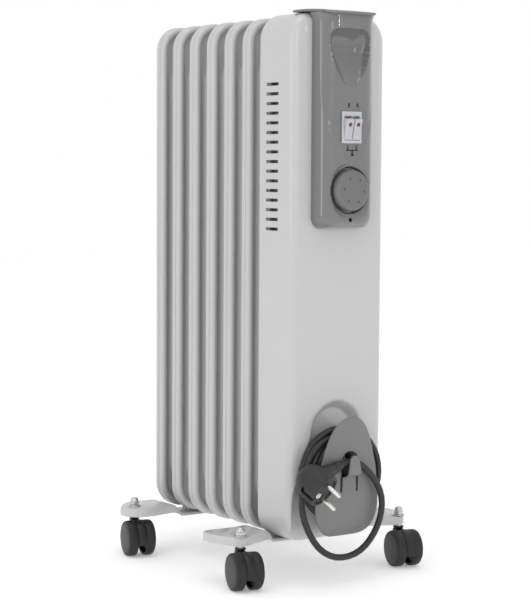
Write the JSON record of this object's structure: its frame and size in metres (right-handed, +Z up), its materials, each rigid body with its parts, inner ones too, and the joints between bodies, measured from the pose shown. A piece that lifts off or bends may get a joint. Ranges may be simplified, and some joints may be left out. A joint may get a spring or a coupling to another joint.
{
  "type": "oil filled radiator heater",
  "caption": "Oil filled radiator heater: a row of pressed fins, a boxed control end with rocker switches, thermostat knob and cord holder, on foot brackets with twin wheel casters.",
  "frame": {"origin": "middle of the object's footprint box, on the floor, without the cord and its plug", "axes": "+X towards the control panel end, +Y across the fins, +Z up; the rear fin is at -X"},
  "size_m": [0.342, 0.2577, 0.6075],
  "materials": {
    "fin_enamel": "semi-gloss light grey enamel",
    "cover_enamel": "semi-gloss light grey enamel",
    "foot_enamel": "satin light grey enamel",
    "panel_abs": "moulded mid grey ABS",
    "switch_plastic": "moulded off-white",
    "wheel_plastic": "moulded dark grey",
    "caster_hood_plastic": "moulded black",
    "zinc_steel": "bright zinc plate",
    "copper_sheath": "drawn tube",
    "phenolic": "moulded",
    "silicone_wire": "sleeved wire",
    "cord_pvc": "satin black PVC",
    "plug_rubber": "moulded black PVC"
  },
  "bodies": {
    "heater": {"control_cover": "cover_enamel", "control_panel": "panel_abs", "cord_coil": "cord_pvc", "cord_holder_hub": "panel_abs", "cord_holder_plate": "panel_abs", "cord_loop": "cord_pvc", "cord_strain_relief": "cord_pvc", "fin_1": "fin_enamel", "fin_2": "fin_enamel", "fin_3": "fin_enamel", "fin_4": "fin_enamel", "fin_5": "fin_enamel", "fin_6": "fin_enamel", "fin_7": "fin_enamel", "front_foot_bracket": "foot_enamel", "front_left_caster_nut": "zinc_steel", "front_left_caster_stem": "zinc_steel", "front_right_caster_nut": "zinc_steel", "front_right_caster_stem": "zinc_steel", "front_u_bolt": "zinc_steel", "heat_shield": "zinc_steel", "heating_element": "copper_sheath", "internal_wires": "silicone_wire", "panel_screw": "zinc_steel", "plug_body": "plug_rubber", "plug_earth_clip_a": "zinc_steel", "plug_earth_clip_b": "zinc_steel", "plug_pin_a": "zinc_steel", "plug_pin_b": "zinc_steel", "rear_foot_bracket": "foot_enamel", "rear_left_caster_nut": "zinc_steel", "rear_left_caster_stem": "zinc_steel", "rear_right_caster_nut": "zinc_steel", "rear_right_caster_stem": "zinc_steel", "rear_u_bolt": "zinc_steel", "switch_body": "switch_plastic", "switch_terminals": "zinc_steel", "terminal_block": "phenolic", "thermal_cutout": "phenolic", "thermostat_body": "phenolic"},
    "front_left_caster": {"front_left_caster_hood": "caster_hood_plastic", "front_left_caster_axle": "zinc_steel"},
    "front_left_roller_a": {"front_left_wheel_a": "wheel_plastic"},
    "front_left_roller_b": {"front_left_wheel_b": "wheel_plastic"},
    "front_right_caster": {"front_right_caster_hood": "caster_hood_plastic", "front_right_caster_axle": "zinc_steel"},
    "front_right_roller_a": {"front_right_wheel_a": "wheel_plastic"},
    "front_right_roller_b": {"front_right_wheel_b": "wheel_plastic"},
    "rear_left_caster": {"rear_left_caster_hood": "caster_hood_plastic", "rear_left_caster_axle": "zinc_steel"},
    "rear_left_roller_a": {"rear_left_wheel_a": "wheel_plastic"},
    "rear_left_roller_b": {"rear_left_wheel_b": "wheel_plastic"},
    "rear_right_caster": {"rear_right_caster_hood": "caster_hood_plastic", "rear_right_caster_axle": "zinc_steel"},
    "rear_right_roller_a": {"rear_right_wheel_a": "wheel_plastic"},
    "rear_right_roller_b": {"rear_right_wheel_b": "wheel_plastic"},
    "knob": {"thermostat_knob": "panel_abs", "thermostat_shaft": "zinc_steel"},
    "rocker_left": {"rocker_left": "switch_plastic"},
    "rocker_right": {"rocker_right": "switch_plastic"}
  },
  "joints": [
    {"name": "thermostat_turn", "type": "hinge", "parent": "heater", "child": "knob", "pos_m": [0.13814, 0, 0.4186], "axis": [-1, 0, 0], "range_deg": [0, 270]},
    {"name": "left_rocker_tilt", "type": "hinge", "parent": "heater", "child": "rocker_left", "pos_m": [0.13584, -0.0054, 0.4839], "axis": [0, 1, 0], "range_deg": [-26, 0]},
    {"name": "right_rocker_tilt", "type": "hinge", "parent": "heater", "child": "rocker_right", "pos_m": [0.13584, 0.0054, 0.4839], "axis": [0, 1, 0], "range_deg": [-26, 0]},
    {"name": "front_left_swivel", "type": "hinge", "parent": "heater", "child": "front_left_caster", "pos_m": [0.09274, -0.1079, 0.033], "axis": [0, 0, 1], "continuous": true},
    {"name": "front_left_roll_a", "type": "hinge", "parent": "front_left_caster", "child": "front_left_roller_a", "pos_m": [0.10538, -0.11094, 0.02], "axis": [0.2334, 0.9724, 0], "continuous": true},
    {"name": "front_left_roll_b", "type": "hinge", "parent": "front_left_caster", "child": "front_left_roller_b", "pos_m": [0.10538, -0.11094, 0.02], "axis": [0.2334, 0.9724, 0], "continuous": true},
    {"name": "front_right_swivel", "type": "hinge", "parent": "heater", "child": "front_right_caster", "pos_m": [0.09274, 0.1079, 0.033], "axis": [0, 0, 1], "continuous": true},
    {"name": "front_right_roll_a", "type": "hinge", "parent": "front_right_caster", "child": "front_right_roller_a", "pos_m": [0.10538, 0.10486, 0.02], "axis": [0.2334, 0.9724, 0], "continuous": true},
    {"name": "front_right_roll_b", "type": "hinge", "parent": "front_right_caster", "child": "front_right_roller_b", "pos_m": [0.10538, 0.10486, 0.02], "axis": [0.2334, 0.9724, 0], "continuous": true},
    {"name": "rear_left_swivel", "type": "hinge", "parent": "heater", "child": "rear_left_caster", "pos_m": [-0.12, -0.1079, 0.033], "axis": [0, 0, 1], "continuous": true},
    {"name": "rear_left_roll_a", "type": "hinge", "parent": "rear_left_caster", "child": "rear_left_roller_a", "pos_m": [-0.10736, -0.11094, 0.02], "axis": [0.2334, 0.9724, 0], "continuous": true},
    {"name": "rear_left_roll_b", "type": "hinge", "parent": "rear_left_caster", "child": "rear_left_roller_b", "pos_m": [-0.10736, -0.11094, 0.02], "axis": [0.2334, 0.9724, 0], "continuous": true},
    {"name": "rear_right_swivel", "type": "hinge", "parent": "heater", "child": "rear_right_caster", "pos_m": [-0.12, 0.1079, 0.033], "axis": [0, 0, 1], "continuous": true},
    {"name": "rear_right_roll_a", "type": "hinge", "parent": "rear_right_caster", "child": "rear_right_roller_a", "pos_m": [-0.10736, 0.10486, 0.02], "axis": [0.2334, 0.9724, 0], "continuous": true},
    {"name": "rear_right_roll_b", "type": "hinge", "parent": "rear_right_caster", "child": "rear_right_roller_b", "pos_m": [-0.10736, 0.10486, 0.02], "axis": [0.2334, 0.9724, 0], "continuous": true}
  ]
}
